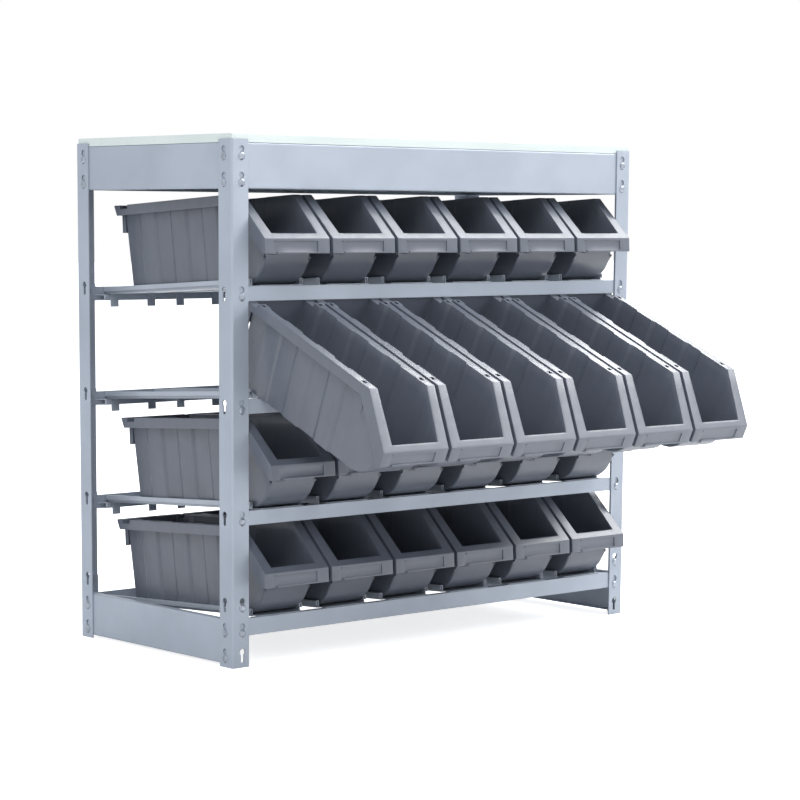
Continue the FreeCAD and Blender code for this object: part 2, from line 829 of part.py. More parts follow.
def tongue_edge(row):
    """Front top edge of a shelf's trays, which a tipped bin turns on."""
    slope = math.radians(SHELF_SLOPE)
    y = REST_Y - size.tongue_reach * math.cos(slope) + size.tray_sheet * math.sin(slope)
    z = front_beam_top(row) + size.play + size.tongue_reach * math.sin(slope) + size.tray_sheet * math.cos(slope)
    return y, z


def tipped_spot(row):
    """Foot on the front edge of the tray, notches of the side rims caught under the beam above."""
    edge_y, edge_z = tongue_edge(row)
    web_y = -BEAM_FACE_Y + size.beam_sheet
    web_z = front_beam_top(row - 1) - size.web_tall
    rise = math.hypot(web_y - edge_y, web_z - edge_z)
    lean = math.atan2(web_y - edge_y, web_z - edge_z)
    notch_height = size.bin_height - size.notch_deep
    tip = math.acos((notch_height + 2 * size.play) / rise) - lean
    along = size.notch_back + size.play + size.notch_deep * math.tan(tip)
    above = notch_height + size.play
    y = web_y + along * math.cos(tip) + above * math.sin(tip)
    z = web_z + along * math.sin(tip) - above * math.cos(tip)
    return y, z, math.degrees(tip)


def add_bins():
    source = open_front_bin()
    for row in range(1, ROWS + 1):
        y, z, angle = tipped_spot(row) if row == TIPPED_ROW else home_spot(row)
        for column in range(1, COLUMNS + 1):
            first = row == 1 and column == 1
            item = source if first else again(source, "Bin%d%d" % (row, column))
            keep(place(item, column_x(column), y, z, X_AXIS, angle), "bin_r%d_c%d" % (row, column))


def add_rivets():
    source = rivet()
    for name, side_x, side_y, _ in CORNERS:
        keep(rivets_of("Rivets_" + name, side_x, side_y, source), "rivets_" + name)


def add_board():
    top = rivet_height(7) + size.deep_above + size.play
    keep(place(board(), 0, 0, top), "worktop_board")


add_posts()
add_deep_beams()
add_shelf_beams()
add_board()
add_trays()
add_bins()
add_rivets()
doc.recompute()

for item in doc.Objects:
    if "Invalid" in item.State or "Error" in item.State:
        raise RuntimeError("%s did not recompute: %s" % (item.Label, item.State))
for item in parts:
    if item.Shape.isNull() or not item.Shape.isValid():
        raise RuntimeError("%s has no valid shape" % item.Label)
    item.Shape.exportStep("parts/%s.step" % item.Label)
print("wrote %d parts" % len(parts))
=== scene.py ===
import json
import math

import bmesh
import bpy
from mathutils import Matrix, Vector


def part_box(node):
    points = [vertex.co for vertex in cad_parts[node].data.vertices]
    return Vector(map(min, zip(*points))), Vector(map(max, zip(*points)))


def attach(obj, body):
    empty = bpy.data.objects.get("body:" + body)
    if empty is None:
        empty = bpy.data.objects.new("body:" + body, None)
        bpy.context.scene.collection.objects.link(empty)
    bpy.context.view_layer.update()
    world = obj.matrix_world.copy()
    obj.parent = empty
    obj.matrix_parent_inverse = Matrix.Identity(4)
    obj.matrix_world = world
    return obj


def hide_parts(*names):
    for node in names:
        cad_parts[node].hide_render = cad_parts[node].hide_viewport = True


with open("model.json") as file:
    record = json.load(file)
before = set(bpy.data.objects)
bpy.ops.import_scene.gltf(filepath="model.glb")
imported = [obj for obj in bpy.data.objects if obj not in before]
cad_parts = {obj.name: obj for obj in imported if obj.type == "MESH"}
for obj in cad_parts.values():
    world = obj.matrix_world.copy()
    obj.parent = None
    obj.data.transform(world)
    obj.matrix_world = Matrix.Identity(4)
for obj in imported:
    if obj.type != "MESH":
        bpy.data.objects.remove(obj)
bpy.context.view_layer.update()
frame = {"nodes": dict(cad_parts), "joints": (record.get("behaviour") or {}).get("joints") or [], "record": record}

nodes = frame["nodes"]
joints = {joint["child"]: joint for joint in frame["joints"]}

# ---------------------------------------------------------------- bin sizes (metres)
# A bin's own frame: X across, Y = 0 at the back end of its rim with the mouth at -Y, Z = 0 under its foot.
# The sheet below is the inside and top skin of the moulding. The wall is added outwards and downwards.
WALL = 0.0023
LENGTH = 0.370
HEIGHT = 0.134
RIM_HALF = 0.0617
FLOOR_HALF = 0.0422
TOP_HALF = 0.0500
RECESS_LOW = 0.0027
RECESS_HIGH = 0.0033
FOOT_BACK = 0.015
BACK_FLOOR = -0.0173
BACK_TOP = -0.0124
NOSE_Y = -0.292
NOSE_Z = 0.056
NOSE_RADIUS = 0.0537
MOUTH_Y = -0.306
LIP_TOP = 0.066
LIP_BOTTOM = 0.044
FRONT_LEAN = 17 / 18
SKIRT = 0.0155
MOUTH_SKIRT = 0.0203
SLANT_Y = -0.0065
NOTCH_BACK = -0.0152
NOTCH_FRONT = -0.0342
NOTCH_DEEP = 0.0060
# The notch's ends slant by this much on their way down
NOTCH_SLANT = 0.0008
# The line of points below the rim's outer edge
EDGE_DEEP = 0.0043
LABEL_HALF = 0.039
LABEL_SLOT = 0.0065
HEM = 0.0025
LABEL_TOP = LIP_TOP - EDGE_DEEP
LABEL_BOTTOM = LIP_BOTTOM + HEM
LABEL_DEEP = 0.0018
NUB_RADIUS = 0.0012

# Points nearer than this are one point, and a point this near to a plane is on it
MERGE = 2e-5
TOUCH = 1e-5

MOUTH_STEEP = (HEIGHT - LIP_TOP) / (LENGTH + MOUTH_Y)
MOUTH_DROP = MOUTH_SKIRT * math.hypot(1.0, MOUTH_STEEP)
NOSE_FRONT = NOSE_Y - NOSE_RADIUS
FRONT_START = HEIGHT + MOUTH_STEEP * (NOSE_FRONT - MOUTH_Y + FRONT_LEAN * NOSE_Z)
FRONT_TOP_Z = FRONT_START / (1 + MOUTH_STEEP * FRONT_LEAN)
FRONT_TOP_Y = NOSE_FRONT - FRONT_LEAN * (FRONT_TOP_Z - NOSE_Z)


def between(a, b, share):
    return a + (b - a) * share


def mouth_height(y):
    """Height of the rim's top at a place along the bin."""
    return HEIGHT + MOUTH_STEEP * min(y - MOUTH_Y, 0.0)


def rim_height(y):
    """Height of the rim's top along its sides, where a notch is let in near the back."""
    inside = min(NOTCH_BACK + NOTCH_SLANT - y, y - NOTCH_FRONT + NOTCH_SLANT)
    share = max(0.0, min(inside / NOTCH_SLANT, 1.0))
    return mouth_height(y) - NOTCH_DEEP * share


def skirt_height(y):
    """Height of the lower edge of the rim's side skirt."""
    under_mouth = HEIGHT + MOUTH_STEEP * (y - MOUTH_Y) - MOUTH_DROP
    return max(LIP_BOTTOM, min(HEIGHT - SKIRT, under_mouth))


def half_width(z, recess):
    """Half the inside width of the bin. The wall leans out, and steps in along its recessed panels."""
    share = (z - WALL) / (HEIGHT - WALL)
    plain = between(FLOOR_HALF, TOP_HALF, share)
    return plain - recess * between(RECESS_LOW, RECESS_HIGH, share)


# Where the side wall steps between recessed and full panels, from the back, with half the run of each step
PANEL_STEPS = (
    (-0.0510, 0.0035),
    (-0.0890, 0.0018),
    (-0.1300, 0.0035),
    (-0.1665, 0.0018),
    (-0.2080, 0.0035),
    (-0.2430, 0.0018),
)
HOLE_PLACES = (-0.0405, -0.285)
HOLE_HALF = 0.0038
# The side wall's cross lines lean with the back wall beside it, and stand upright this far ahead of it
LEAN_FADE = 0.020
# Where the cross lines over the rounded nose reach the rim, between the mouth's start and its lip
NOSE_TOPS = (-0.322, -0.334, -0.343)


def foot_place(top_y):
    """Where a cross line that reaches the rim at top_y starts on the floor."""
    fade = max(0.0, 1.0 - (BACK_TOP - top_y) / LEAN_FADE)
    return top_y + (BACK_FLOOR - BACK_TOP) * fade


def side_stations():
    """Cross lines of the side wall: (foot y, foot z, top y, recess) from the back corner to the front one."""
    lines = [(BACK_TOP, 1.0)]
    recess = 1.0
    for place, run in PANEL_STEPS:
        lines.append((place + run, recess))
        recess = 1.0 - recess
        lines.append((place - run, recess))
    for place in (NOTCH_BACK, NOTCH_FRONT - NOTCH_SLANT):
        lines += [(place + NOTCH_SLANT, 1.0), (place, 1.0)]
    for place in HOLE_PLACES:
        lines += [(place + HOLE_HALF, 1.0), (place - HOLE_HALF, 1.0)]
    bend = MOUTH_Y + (MOUTH_DROP - SKIRT) / MOUTH_STEEP
    lines.append((bend, 1.0))
    stations = []
    for y, inset in sorted(lines, reverse=True):
        stations.append((foot_place(y), WALL, y, inset))
    reach = FRONT_TOP_Y - NOSE_Y
    lip_back = MOUTH_Y + (LIP_BOTTOM - HEIGHT + MOUTH_DROP) / MOUTH_STEEP
    lip_back_inner = MOUTH_Y + (lip_back - MOUTH_Y) * (FRONT_TOP_Y - MOUTH_Y) / (-LENGTH - MOUTH_Y)
    tops = [MOUTH_Y, *NOSE_TOPS, lip_back_inner]
    angles = [math.asin((y - NOSE_Y) / reach) for y in tops] + [math.pi / 2]
    if bend > NOSE_Y:
        angles.insert(0, 0.0)
    for angle in sorted(angles):
        foot_y = NOSE_Y - NOSE_RADIUS * math.sin(angle)
        foot_z = NOSE_Z - NOSE_RADIUS * math.cos(angle)
        stations.append((foot_y, foot_z, NOSE_Y + reach * math.sin(angle), 1.0))
    return stations


# Shares of the way up a wall, across the bin from side to side, and across the rim from the inside out
WALL_LEVELS = (0.0, 0.12, 0.3, 0.5, 0.7, 0.88, 1.0)
ACROSS = (-1.0, -(LABEL_HALF + LABEL_SLOT) / RIM_HALF, -LABEL_HALF / RIM_HALF, -0.3, 0.0)
ACROSS = ACROSS + tuple(-share for share in reversed(ACROSS[:-1]))
RIM_SHARES = (0.0, 0.26, 0.70, 1.0)
# The rim's lines behind the inside
RIM_BACK = (BACK_TOP, BACK_TOP / 2, 0.0)


def add_grid(mesh, rows, skip=()):
    """Quads between rows of points. skip names cells left open as (row, column)."""
    made = [[mesh.verts.new(point) for point in row] for row in rows]
    for r in range(len(rows) - 1):
        for c in range(len(rows[r]) - 1):
            if (r, c) in skip:
                continue
            corners = (made[r][c], made[r][c + 1], made[r + 1][c + 1], made[r + 1][c])
            mesh.faces.new(corners)


def skirt_levels(y):
    """Heights down the rim's skirt: its top, a little below it, the top of the hem and the lower edge."""
    top = rim_height(y)
    low = skirt_height(y)
    return top, top - EDGE_DEEP, low + HEM, low


def slant_limit(y, z):
    """Where a line of the rim behind the inside comes to at a height: the rim's back slants forward below."""
    share = (HEIGHT - z) / SKIRT
    return between(SLANT_Y, BACK_TOP, y / BACK_TOP) * share + y * (1.0 - share)


def outer_y(top_y):
    """Where a cross line of the rim reaches the rim's outer edge."""
    if top_y >= MOUTH_Y:
        return top_y
    return between(MOUTH_Y, -LENGTH, (top_y - MOUTH_Y) / (FRONT_TOP_Y - MOUTH_Y))


def side_grids(mesh, side):
    """Side wall, side rim and side skirt on one side of the bin."""
    stations = side_stations()
    wall = []
    rim = []
    skirt = []
    for foot_y, foot_z, top_y, recess in stations:
        top_z = rim_height(top_y)
        column = []
        for level in WALL_LEVELS:
            z = between(foot_z, top_z, level)
            column.append(Vector((side * half_width(z, recess), between(foot_y, top_y, level), z)))
        wall.append(column)
        inner = column[-1]
        edge_y = outer_y(top_y)
        outer = Vector((side * RIM_HALF, edge_y, rim_height(edge_y)))
        rim.append([inner.lerp(outer, share) for share in RIM_SHARES])
        skirt.append([Vector((side * RIM_HALF, edge_y, z)) for z in skirt_levels(edge_y)])
    add_grid(mesh, wall)
    holes = set()
    for index in range(len(stations) - 1):
        middle = (stations[index][2] + stations[index + 1][2]) / 2
        if any(abs(middle - place) < HOLE_HALF / 2 for place in HOLE_PLACES):
            holes.add((index, 1))
    add_grid(mesh, rim, holes)
    add_grid(mesh, skirt)
    inner_x = side * half_width(HEIGHT, 1.0)
    across = [between(inner_x, side * RIM_HALF, share) for share in RIM_SHARES]
    add_grid(mesh, [[Vector((x, y, HEIGHT)) for x in across] for y in RIM_BACK])
    flank = []
    for y in RIM_BACK:
        flank.append([Vector((side * RIM_HALF, min(y, slant_limit(y, z)), z)) for z in skirt_levels(y)])
    add_grid(mesh, flank)


def middle_grids(mesh):
    """Floor and nose, back wall, front wall, and the rim across the back and over the lip."""
    stations = side_stations()
    floor = []
    for foot_y, foot_z, _, recess in stations:
        half = half_width(foot_z, recess)
        floor.append([Vector((share * half, foot_y, foot_z)) for share in ACROSS])
    add_grid(mesh, floor)
    back = []
    for level in WALL_LEVELS:
        z = between(WALL, HEIGHT, level)
        half = half_width(z, 1.0)
        back.append([Vector((share * half, between(BACK_FLOOR, BACK_TOP, level), z)) for share in ACROSS])
    add_grid(mesh, back)
    front = []
    for level in WALL_LEVELS:
        z = between(NOSE_Z, FRONT_TOP_Z, level)
        half = half_width(z, 1.0)
        front.append([Vector((share * half, between(NOSE_FRONT, FRONT_TOP_Y, level), z)) for share in ACROSS])
    add_grid(mesh, front)
    lip_edge = [Vector((share * RIM_HALF, -LENGTH, LIP_TOP)) for share in ACROSS]
    add_grid(mesh, [[a.lerp(b, share) for a, b in zip(front[-1], lip_edge)] for share in RIM_SHARES])
    inner = half_width(HEIGHT, 1.0)
    add_grid(mesh, [[Vector((share * inner, y, HEIGHT)) for share in ACROSS] for y in RIM_BACK])
    lip = [[Vector((share * RIM_HALF, -LENGTH, z)) for share in ACROSS] for z in skirt_levels(-LENGTH)]
    add_grid(mesh, lip)
    across = [share * inner for share in ACROSS]
    side = [between(inner, RIM_HALF, share) for share in RIM_SHARES[1:]]
    across = [-x for x in reversed(side)] + across + side
    add_grid(mesh, [[Vector((x, slant_limit(0.0, z), z)) for x in across] for z in skirt_levels(0.0)])


def in_label(spot):
    """Whether a point of the lip's front is in the label's recess or in the slot that leads up into it."""
    if abs(spot.y + LENGTH) > TOUCH or spot.z > LABEL_TOP:
        return False
    if -LABEL_HALF - LABEL_SLOT < spot.x < -LABEL_HALF:
        return True
    return abs(spot.x) < LABEL_HALF and spot.z > LABEL_BOTTOM


def sink_label(mesh):
    """Press the label's recess into the lip."""
    faces = [face for face in mesh.faces if in_label(face.calc_center_median())]
    made = bmesh.ops.extrude_face_region(mesh, geom=faces)["geom"]
    for item in made:
        if isinstance(item, bmesh.types.BMVert):
            item.co.y += LABEL_DEEP
    bmesh.ops.delete(mesh, geom=[face for face in faces if face.is_valid], context="FACES_ONLY")


def add_nubs(mesh):
    """Two small round bumps above the label's ends."""
    for side in (-1, 1):
        spot = Vector((side * (LABEL_HALF + 2 * NUB_RADIUS), -LENGTH, LABEL_TOP + NUB_RADIUS / 2))
        bmesh.ops.create_icosphere(mesh, subdivisions=3, radius=NUB_RADIUS, matrix=Matrix.Translation(spot))


HANGER_HALF = 0.050
HANGER_HIGH = HEIGHT - SKIRT + 0.002
HANGER_LOW = 0.092
HANGER_Y = -0.0045


def hanger_grid(mesh):
    """The plate below the back of the rim, with its two short sides."""
    plan = [(HANGER_HALF, BACK_TOP), (HANGER_HALF, HANGER_Y), (0.0, HANGER_Y), (-HANGER_HALF, HANGER_Y)]
    plan.append((-HANGER_HALF, BACK_TOP))
    rows = [[Vector((x, y, z)) for x, y in plan] for z in (HANGER_HIGH, HANGER_LOW)]
    add_grid(mesh, rows)


# Radii that the folds are moulded to. The bevel is as wide as the largest, and the others are shares of it.
LIP_CORNER = 0.0062
BACK_CORNER = 0.0040
OUTER_EDGE = 0.0026
INNER_CORNER = 0.0034
INNER_BACK_CORNER = 0.0018
BEVEL_WIDTH = 0.008
FOLD_ANGLE = math.radians(14)
UPRIGHT = 0.8


def weigh_edges(mesh):
    """Mark the sheet's folds with the radius each is moulded to."""
    layer = mesh.edges.layers.float.new("bevel_weight_edge")
    for edge in mesh.edges:
        if len(edge.link_faces) != 2 or edge.calc_face_angle(0.0) < FOLD_ANGLE:
            continue
        a, b = edge.verts[0].co, edge.verts[1].co
        middle = (a + b) / 2
        along = (b - a).normalized()
        upright = abs(along.z) > UPRIGHT
        outside = abs(abs(middle.x) - RIM_HALF) < TOUCH
        on_lip = middle.y < -LENGTH + TOUCH
        if upright and outside and on_lip:
            radius = LIP_CORNER
        elif upright and outside and middle.y > BACK_TOP:
            radius = BACK_CORNER
        elif upright and middle.y > NOTCH_BACK:
            radius = INNER_BACK_CORNER
        elif outside or on_lip or middle.y > -TOUCH:
            radius = OUTER_EDGE
        elif upright and abs(middle.x) > FLOOR_HALF - 0.002 and middle.z < HEIGHT - NOTCH_DEEP:
            radius = INNER_CORNER
        elif middle.z < NOSE_Z and abs(middle.x) > FLOOR_HALF - 0.003:
            radius = INNER_CORNER
        else:
            continue
        edge[layer] = radius / BEVEL_WIDTH


def finished_mesh(name, mesh, modifiers):
    """The mesh with its modifiers worked out."""
    data = bpy.data.meshes.new(name)
    mesh.to_mesh(data)
    mesh.free()
    helper = bpy.data.objects.new(name + "_helper", data)
    bpy.context.scene.collection.objects.link(helper)
    for kind, settings in modifiers:
        modifier = helper.modifiers.new(kind.lower(), kind)
        for setting, value in settings.items():
            setattr(modifier, setting, value)
    graph = bpy.context.evaluated_depsgraph_get()
    result = bpy.data.meshes.new_from_object(helper.evaluated_get(graph))
    result.name = name
    bpy.data.objects.remove(helper)
    return result


# Share of a plain even shift in a point's move, which keeps it small where faces nearly agree
EVENNESS = 0.03


def wall_shift(vert):
    """How far and which way a point of the sheet moves to reach the other face of the wall."""
    pull = Matrix.Identity(3) * EVENNESS
    aim = Vector()
    total = sum(face.calc_area() for face in vert.link_faces)
    for face in vert.link_faces:
        share = face.calc_area() / total
        normal = face.normal
        for row in range(3):
            pull[row] = pull[row] + normal * (normal[row] * share)
        aim -= normal * (share * WALL)
    return pull.inverted() @ (aim * (1.0 + EVENNESS))


def thicken(mesh):
    """Give the sheet its wall, on the side its faces turn away from."""
    shifts = [wall_shift(vert) for vert in mesh.verts]
    border = [edge for edge in mesh.edges if len(edge.link_faces) == 1]
    walks = []
    for edge in border:
        loop = edge.link_faces[0].loops[0]
        while loop.edge is not edge:
            loop = loop.link_loop_next
        walks.append((loop.vert, loop.link_loop_next.vert))
    faces = list(mesh.faces)
    old = list(mesh.verts)
    partner = {vert: mesh.verts.new(vert.co + shift) for vert, shift in zip(old, shifts)}
    for face in faces:
        mesh.faces.new([partner[vert] for vert in reversed(face.verts)])
    for a, b in walks:
        mesh.faces.new((b, a, partner[a], partner[b]))


# The small three cornered pit in the outside of each side wall, just behind the mouth: (y, z)
SIDE_HOLE = ((-0.288, 0.103), (-0.289, 0.080), (-0.303, 0.087))
SIDE_HOLE_DEPTH = 0.0461


def side_hole_cutter():
    """Two three cornered blocks, one for the outside of each side wall."""
    mesh = bmesh.new()
    for side in (-1, 1):
        ends = [[mesh.verts.new((side * x, y, z)) for y, z in SIDE_HOLE] for x in (SIDE_HOLE_DEPTH, RIM_HALF)]
        for index in range(3):
            after = (index + 1) % 3
            mesh.faces.new((ends[0][index], ends[0][after], ends[1][after], ends[1][index]))
        mesh.faces.new(ends[0])
        mesh.faces.new(ends[1])
    bmesh.ops.recalc_face_normals(mesh, faces=mesh.faces)
    data = bpy.data.meshes.new("side_hole")
    mesh.to_mesh(data)
    mesh.free()
    cutter = bpy.data.objects.new("side_hole", data)
    bpy.context.scene.collection.objects.link(cutter)
    return cutter


def bin_mesh():
    """The whole moulding: the sheet with its folds rounded, then its wall, bumps and pits."""
    mesh = bmesh.new()
    for side in (-1, 1):
        side_grids(mesh, side)
    middle_grids(mesh)
    bmesh.ops.remove_doubles(mesh, verts=mesh.verts, dist=MERGE)
    sink_label(mesh)
    hanger_grid(mesh)
    bmesh.ops.recalc_face_normals(mesh, faces=mesh.faces)
    if max(mesh.faces, key=lambda face: face.calc_center_median().z).normal.z < 0:
        bmesh.ops.reverse_faces(mesh, faces=mesh.faces)
    mesh.normal_update()
    weigh_edges(mesh)
    rounding = {"limit_method": "WEIGHT", "width": BEVEL_WIDTH, "segments": 4}
    sheet = finished_mesh("bin_sheet", mesh, [("BEVEL", rounding)])
    mesh = bmesh.new()
    mesh.from_mesh(sheet)
    bpy.data.meshes.remove(sheet)
    bmesh.ops.remove_doubles(mesh, verts=mesh.verts, dist=MERGE)
    mesh.normal_update()
    thicken(mesh)
    add_nubs(mesh)
    edges = {"limit_method": "ANGLE", "angle_limit": math.radians(40), "width": 0.0005, "segments": 2}
    cutter = side_hole_cutter()
    holes = {"operation": "DIFFERENCE", "solver": "EXACT", "object": cutter}
    result = finished_mesh("bin", mesh, [("BOOLEAN", holes), ("BEVEL", edges)])
    bpy.data.objects.remove(cutter)
    result.polygons.foreach_set("use_smooth", [True] * len(result.polygons))
    result.set_sharp_from_angle(angle=math.radians(32))
    return result


# ---------------------------------------------------------------- where each bin stands
# The gap that the CAD leaves between a bin's foot and what it stands on
PLAY = 0.0001


def slide_slope():
    """The slope of the shelves, from the way a bin slides."""
    axis = next(joint["axis"] for joint in frame["joints"] if joint["type"] == "slide")
    return math.atan2(axis[2], -axis[1])


def tipped_place(high, joint):
    """Tip of a bin whose foot rests on its hinge, and whose box ends at its foot's back and its rim's."""
    low_turn, high_turn = 0.0, math.radians(joint["range_deg"][1])
    for _ in range(40):
        turn = (low_turn + high_turn) / 2
        y = high[1] + FOOT_BACK * math.cos(turn)
        z = high[2] - HEIGHT * math.cos(turn)
        above = (joint["pos_m"][2] - z) * math.cos(turn) - (joint["pos_m"][1] - y) * math.sin(turn)
        if above < -PLAY:
            low_turn = turn
        else:
            high_turn = turn
    return turn, y, z


def bin_matrix(node):
    """Place of a bin's own frame, from its box and its joint."""
    low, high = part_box(node)
    slope = slide_slope()
    joint = joints[node]
    x = (low[0] + high[0]) / 2
    if joint["type"] == "slide":
        y = high[1] - HEIGHT * math.sin(slope)
        z = high[2] + MOUTH_Y * math.sin(slope) - HEIGHT * math.cos(slope)
        turn = -slope
    else:
        turn, y, z = tipped_place(high, joint)
    return Matrix.Translation((x, y, z)) @ Matrix.Rotation(turn, 4, "X")


# ---------------------------------------------------------------- materials
def new_material(name):
    """An empty material with one shader: (material, its nodes, the shader, places on the object)."""
    material = bpy.data.materials.new(name)
    material.use_nodes = True
    tree = material.node_tree
    tree.nodes.clear()
    output = tree.nodes.new("ShaderNodeOutputMaterial")
    shader = tree.nodes.new("ShaderNodeBsdfPrincipled")
    tree.links.new(shader.outputs[0], output.inputs[0])
    place = tree.nodes.new("ShaderNodeTexCoord")
    return material, tree, shader, place.outputs["Object"]


def noise(tree, place, scale, detail=3.0, stretch=None):
    texture = tree.nodes.new("ShaderNodeTexNoise")
    texture.inputs["Scale"].default_value = scale
    texture.inputs["Detail"].default_value = detail
    if stretch:
        mapping = tree.nodes.new("ShaderNodeMapping")
        mapping.inputs["Scale"].default_value = stretch
        tree.links.new(place, mapping.inputs["Vector"])
        place = mapping.outputs[0]
    tree.links.new(place, texture.inputs["Vector"])
    return texture.outputs["Fac"]


def ramp(tree, value, stops):
    """Colours or greys over a value: stops are (position, colour)."""
    node = tree.nodes.new("ShaderNodeValToRGB")
    elements = node.color_ramp.elements
    while len(elements) < len(stops):
        elements.new(0.5)
    for element, (position, colour) in zip(elements, stops):
        element.position = position
        element.color = (*colour, 1.0) if len(colour) == 3 else (*colour * 3, 1.0)
    tree.links.new(value, node.inputs[0])
    return node.outputs[0]


def mix(tree, factor, a, b, blend="MIX"):
    node = tree.nodes.new("ShaderNodeMix")
    node.data_type = "RGBA"
    node.blend_type = blend
    for socket, value in ((node.inputs["Factor"], factor), (node.inputs["A"], a), (node.inputs["B"], b)):
        if isinstance(value, (float, int)):
            socket.default_value = value
        elif isinstance(value, tuple):
            socket.default_value = (*value, 1.0)
        else:
            tree.links.new(value, socket)
    return node.outputs["Result"]


def bump(tree, shader, heights, edge_radius=0.0):
    """Chain of bumps, each (height value, distance, strength), over edges softened to a radius."""
    normal = None
    if edge_radius:
        bevel = tree.nodes.new("ShaderNodeBevel")
        bevel.samples = 4
        bevel.inputs["Radius"].default_value = edge_radius
        normal = bevel.outputs[0]
    for height, distance, strength in heights:
        node = tree.nodes.new("ShaderNodeBump")
        node.inputs["Distance"].default_value = distance
        node.inputs["Strength"].default_value = strength
        tree.links.new(height, node.inputs["Height"])
        if normal:
            tree.links.new(normal, node.inputs["Normal"])
        normal = node.outputs[0]
    tree.links.new(normal, shader.inputs["Normal"])


def srgb(red, green, blue):
    """A colour as a screen shows it, turned into light."""
    return tuple(((c / 255 + 0.055) / 1.055) ** 2.4 if c > 10 else c / 255 / 12.92 for c in (red, green, blue))


def powder_coat(name, colour, dark, roughness=0.42):
    """Silver powder coat: a fine orange peel, a little cloudiness, dulled in patches."""
    material, tree, shader, place = new_material(name)
    clouds = noise(tree, place, 9.0)
    tree.links.new(ramp(tree, clouds, [(0.35, dark), (0.65, colour)]), shader.inputs["Base Color"])
    dull = noise(tree, place, 30.0, 5.0)
    rough = ramp(tree, dull, [(0.3, (roughness - 0.06,)), (0.7, (roughness + 0.08,))])
    tree.links.new(rough, shader.inputs["Roughness"])
    shader.inputs["Metallic"].default_value = 0.25
    shader.inputs["Specular IOR Level"].default_value = 0.5
    peel = noise(tree, place, 900.0, 2.0)
    bump(tree, shader, [(peel, 0.0002, 0.25)], 0.0009)
    return material


def moulded_plastic():
    """Slate grey polypropylene with a fine moulded texture and faint flow lines."""
    material, tree, shader, place = new_material("bin_plastic")
    clouds = noise(tree, place, 14.0)
    base = ramp(tree, clouds, [(0.3, srgb(88, 93, 104)), (0.7, srgb(96, 102, 114))])
    flow = ramp(tree, noise(tree, place, 20.0, 2.0, (1.0, 6.0, 0.6)), [(0.4, (0.94,)), (0.6, (1.0,))])
    tree.links.new(mix(tree, 1.0, base, flow, "MULTIPLY"), shader.inputs["Base Color"])
    scuffs = noise(tree, place, 60.0, 6.0)
    tree.links.new(ramp(tree, scuffs, [(0.35, (0.30,)), (0.7, (0.40,))]), shader.inputs["Roughness"])
    shader.inputs["Specular IOR Level"].default_value = 0.9
    grain = noise(tree, place, 1600.0, 2.0)
    waves = noise(tree, place, 25.0, 1.0)
    bump(tree, shader, [(waves, 0.0006, 0.12), (grain, 0.0001, 0.35)])
    return material


def laminate():
    """Pale melamine faced board with a faint speckle."""
    material, tree, shader, place = new_material("board")
    clouds = noise(tree, place, 6.0)
    base = ramp(tree, clouds, [(0.35, srgb(202, 211, 209)), (0.65, srgb(212, 220, 218))])
    speckle = ramp(tree, noise(tree, place, 700.0, 2.0), [(0.33, (0.93,)), (0.42, (1.0,))])
    tree.links.new(mix(tree, 1.0, base, speckle, "MULTIPLY"), shader.inputs["Base Color"])
    shader.inputs["Roughness"].default_value = 0.38
    bump(tree, shader, [(noise(tree, place, 500.0, 2.0), 0.0001, 0.2)], 0.0006)
    return material


def plated_steel():
    """Zinc plated rivet heads, a little brighter than the paint round them."""
    material, tree, shader, place = new_material("rivet_steel")
    clouds = noise(tree, place, 120.0, 4.0)
    base = ramp(tree, clouds, [(0.3, srgb(150, 156, 166)), (0.7, srgb(182, 188, 198))])
    tree.links.new(base, shader.inputs["Base Color"])
    shader.inputs["Metallic"].default_value = 0.7
    shader.inputs["Roughness"].default_value = 0.34
    bump(tree, shader, [(noise(tree, place, 1400.0, 2.0), 0.0001, 0.3)], 0.0004)
    return material


MATERIALS = {
    "frame_paint": powder_coat("frame_paint", srgb(172, 180, 192), srgb(163, 171, 183)),
    "tray_steel": powder_coat("tray_steel", srgb(176, 184, 194), srgb(166, 173, 184), 0.34),
    "rivet_steel": plated_steel(),
    "board": laminate(),
    "bin_plastic": moulded_plastic(),
}


# ---------------------------------------------------------------- the pieces
def paint_frame():
    """The steel and the board keep the CAD's own shapes."""
    for part in frame["record"]["subparts"]:
        if part["material_slot"] == "bin_plastic":
            continue
        piece = nodes[part["node"]]
        piece.data.materials.clear()
        piece.data.materials.append(MATERIALS[part["material_slot"]])


def add_bins():
    data = bin_mesh()
    data.materials.append(MATERIALS["bin_plastic"])
    for part in frame["record"]["subparts"]:
        node = part["node"]
        if part["material_slot"] != "bin_plastic":
            continue
        piece = bpy.data.objects.new("moulded_" + node, data)
        bpy.context.scene.collection.objects.link(piece)
        piece.matrix_world = bin_matrix(node)
        bpy.context.view_layer.update()
        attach(piece, node)
        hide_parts(node)


# ---------------------------------------------------------------- floor, light and camera
FLOOR_HALF_SIZE = 30.0
KEY_AIM = (0.0, 0.0, 0.4)
LIGHTS_AIM = (0.0, -0.2, 0.45)


def add_floor():
    """A white floor, lifted a little for the camera so that only its shadows show."""
    mesh = bmesh.new()
    bmesh.ops.create_grid(mesh, x_segments=1, y_segments=1, size=FLOOR_HALF_SIZE)
    data = bpy.data.meshes.new("floor")
    mesh.to_mesh(data)
    mesh.free()
    floor = bpy.data.objects.new("floor", data)
    bpy.context.scene.collection.objects.link(floor)
    material, tree, shader, place = new_material("floor")
    shader.inputs["Base Color"].default_value = (0.8, 0.8, 0.8, 1.0)
    shader.inputs["Roughness"].default_value = 0.9
    shader.inputs["Emission Color"].default_value = (1.0, 1.0, 1.0, 1.0)
    path = tree.nodes.new("ShaderNodeLightPath")
    lift = tree.nodes.new("ShaderNodeMath")
    lift.operation = "MULTIPLY"
    lift.inputs[1].default_value = 0.75
    tree.links.new(path.outputs["Is Camera Ray"], lift.inputs[0])
    tree.links.new(lift.outputs[0], shader.inputs["Emission Strength"])
    data.materials.append(material)


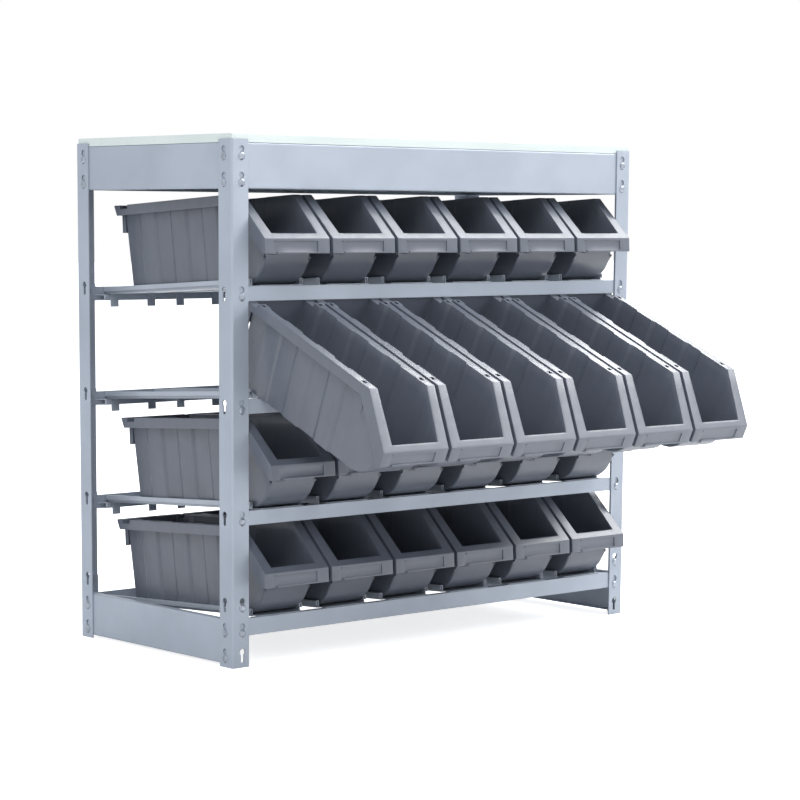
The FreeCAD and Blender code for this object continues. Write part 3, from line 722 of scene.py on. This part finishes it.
def add_light(name, place, target, across, power):
    """A white square light of a width and power, turned to its target."""
    light = bpy.data.lights.new(name, "AREA")
    light.size = across
    light.energy = power
    item = bpy.data.objects.new(name, light)
    item.location = place
    item.rotation_euler = (Vector(target) - Vector(place)).to_track_quat("-Z", "Y").to_euler()
    bpy.context.scene.collection.objects.link(item)


def add_world():
    """White all round for the camera, and a softer white for what lights the rack."""
    world = bpy.data.worlds.new("studio")
    bpy.context.scene.world = world
    world.use_nodes = True
    tree = world.node_tree
    tree.nodes.clear()
    output = tree.nodes.new("ShaderNodeOutputWorld")
    seen = tree.nodes.new("ShaderNodeBackground")
    seen.inputs["Color"].default_value = (1.0, 1.0, 1.0, 1.0)
    lighting = tree.nodes.new("ShaderNodeBackground")
    lighting.inputs["Color"].default_value = (0.93, 0.96, 1.0, 1.0)
    lighting.inputs["Strength"].default_value = 0.86
    path = tree.nodes.new("ShaderNodeLightPath")
    choose = tree.nodes.new("ShaderNodeMixShader")
    tree.links.new(path.outputs["Is Camera Ray"], choose.inputs[0])
    tree.links.new(lighting.outputs[0], choose.inputs[1])
    tree.links.new(seen.outputs[0], choose.inputs[2])
    tree.links.new(choose.outputs[0], output.inputs[0])


CAMERA_X = -2.6648
CAMERA_AHEAD = -3.0511
CAMERA_Z = 0.6579
RACK_Y = (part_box("worktop_board")[0][1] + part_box("worktop_board")[1][1]) / 2


def shift_in_place(item, channel, amount):
    """Shift the camera's lens for as long as it stands where it was made, and not from other sides."""
    driver = item.data.driver_add(channel).driver
    driver.type = "SCRIPTED"
    here = driver.variables.new()
    here.name = "here"
    here.type = "TRANSFORMS"
    here.targets[0].id = item
    here.targets[0].transform_type = "LOC_X"
    here.targets[0].transform_space = "WORLD_SPACE"
    driver.expression = "%f if abs(here - %f) < 0.001 else 0" % (amount, item.matrix_world.translation.x)


def add_camera():
    """Looking along the rack from its front left, a little above the middle."""
    azimuth = math.radians(-41.055)
    elevation = math.radians(7.986)
    roll = math.radians(0.2645)
    back = Vector(
        (math.sin(azimuth) * math.cos(elevation), -math.cos(azimuth) * math.cos(elevation), math.sin(elevation))
    )
    right = Vector((math.cos(azimuth), math.sin(azimuth), 0.0))
    up = back.cross(right)
    turned = right * math.cos(roll) + up * math.sin(roll)
    raised = back.cross(turned)
    camera = bpy.data.cameras.new("camera")
    camera.lens = 111.75
    camera.sensor_width = 36.0
    camera.clip_end = 100.0
    item = bpy.data.objects.new("camera", camera)
    turn = Matrix((turned, raised, back)).transposed().to_4x4()
    item.matrix_world = Matrix.Translation((CAMERA_X, RACK_Y + CAMERA_AHEAD, CAMERA_Z)) @ turn
    bpy.context.scene.collection.objects.link(item)
    bpy.context.scene.camera = item
    shift_in_place(item, "shift_x", 0.0542)
    shift_in_place(item, "shift_y", 0.2127)


bpy.context.scene.view_settings.view_transform = "Standard"
paint_frame()
add_bins()
add_floor()
add_world()
add_light("key", (2.6, -0.9, 2.9), KEY_AIM, 2.6, 125.0)
add_light("right", (2.6, -2.6, 2.3), LIGHTS_AIM, 1.4, 24.0)
add_light("high_back", (2.6, 1.4, 3.0), LIGHTS_AIM, 1.6, 62.0)
add_light("left", (-2.6, -1.8, 3.2), LIGHTS_AIM, 1.8, 52.0)
add_camera()

bpy.context.view_layer.update()
